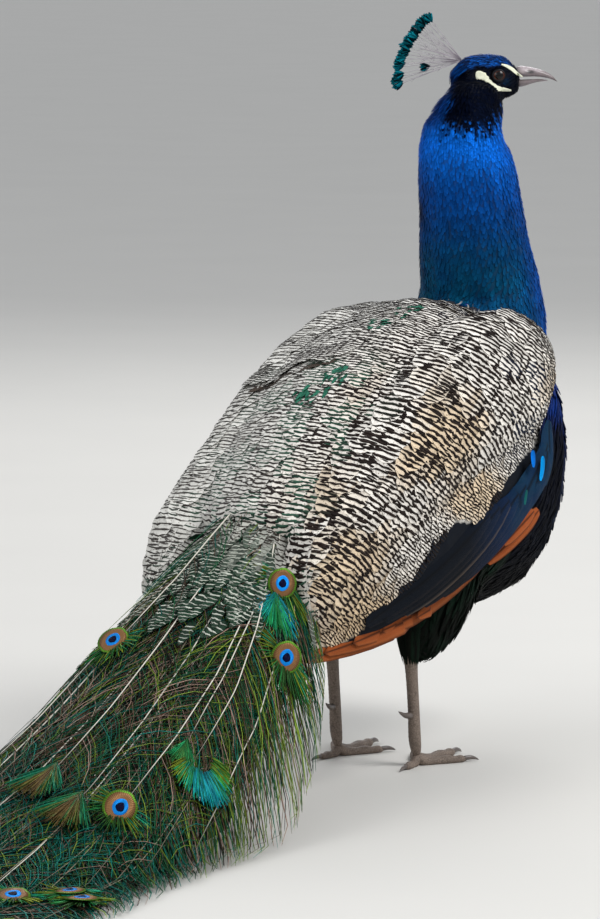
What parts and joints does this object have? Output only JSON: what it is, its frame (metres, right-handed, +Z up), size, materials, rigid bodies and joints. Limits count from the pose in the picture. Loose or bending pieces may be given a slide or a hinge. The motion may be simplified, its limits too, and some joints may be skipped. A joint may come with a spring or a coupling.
{
  "type": "peacock",
  "caption": "Life-size standing peacock as a still model, head turned to its right, wings folded, long train sweeping back down to the floor.",
  "frame": {"origin": "bottom centre of the box round the whole bird, at floor level", "axes": "+Z up, breast towards -Y, train towards +Y, the bird's left side +X"},
  "size_m": [0.4402, 1.648, 0.7929],
  "materials": {
    "blue_plumage": "iridescent royal blue neck feathers, silky, black on the face and throat with two cream-white bare patches",
    "breast_plumage": "deep blue breast feathers that turn green and black towards the belly",
    "belly_plumage": "loose matt black belly and thigh feathers with a faint green gloss",
    "barred_plumage": "buff and white feathers finely barred with brown-black",
    "dark_flight_feathers": "smooth blue-black flight feathers with a satin sheen",
    "rufous_flight_feathers": "smooth rufous-orange flight feathers",
    "train_plumes": "loose green and bronze barbs on white shafts, with blue and bronze eye spots",
    "tail_feathers": "matt grey-brown stiff tail feathers",
    "crest_plumes": "bare pale shafts with small blue-green fans",
    "eye": "wet dark brown eye with a black pupil",
    "horn": "pinkish grey horn, satin, of the bill, claws and spurs",
    "leg_scales": "grey-brown scaled skin of the legs and toes"
  },
  "bodies": {
    "root": {"belly": "belly_plumage", "bill_lower": "horn", "bill_upper": "horn", "breast": "breast_plumage", "claw_left_hind": "horn", "claw_left_inner": "horn", "claw_left_middle": "horn", "claw_left_outer": "horn", "claw_right_hind": "horn", "claw_right_inner": "horn", "claw_right_middle": "horn", "claw_right_outer": "horn", "crest": "crest_plumes", "eye_left": "eye", "eye_right": "eye", "foot_left": "leg_scales", "foot_right": "leg_scales", "head": "blue_plumage", "mantle": "barred_plumage", "neck_lower": "blue_plumage", "neck_upper": "blue_plumage", "shank_left": "leg_scales", "shank_right": "leg_scales", "spur_left": "horn", "spur_right": "horn", "tail": "tail_feathers", "thigh_left": "belly_plumage", "thigh_right": "belly_plumage", "train_long": "train_plumes", "train_middle": "train_plumes", "train_short": "train_plumes", "wing_left_coverts": "barred_plumage", "wing_left_primaries": "rufous_flight_feathers", "wing_left_secondaries": "dark_flight_feathers", "wing_right_coverts": "barred_plumage", "wing_right_primaries": "rufous_flight_feathers", "wing_right_secondaries": "dark_flight_feathers"}
  },
  "joints": []
}
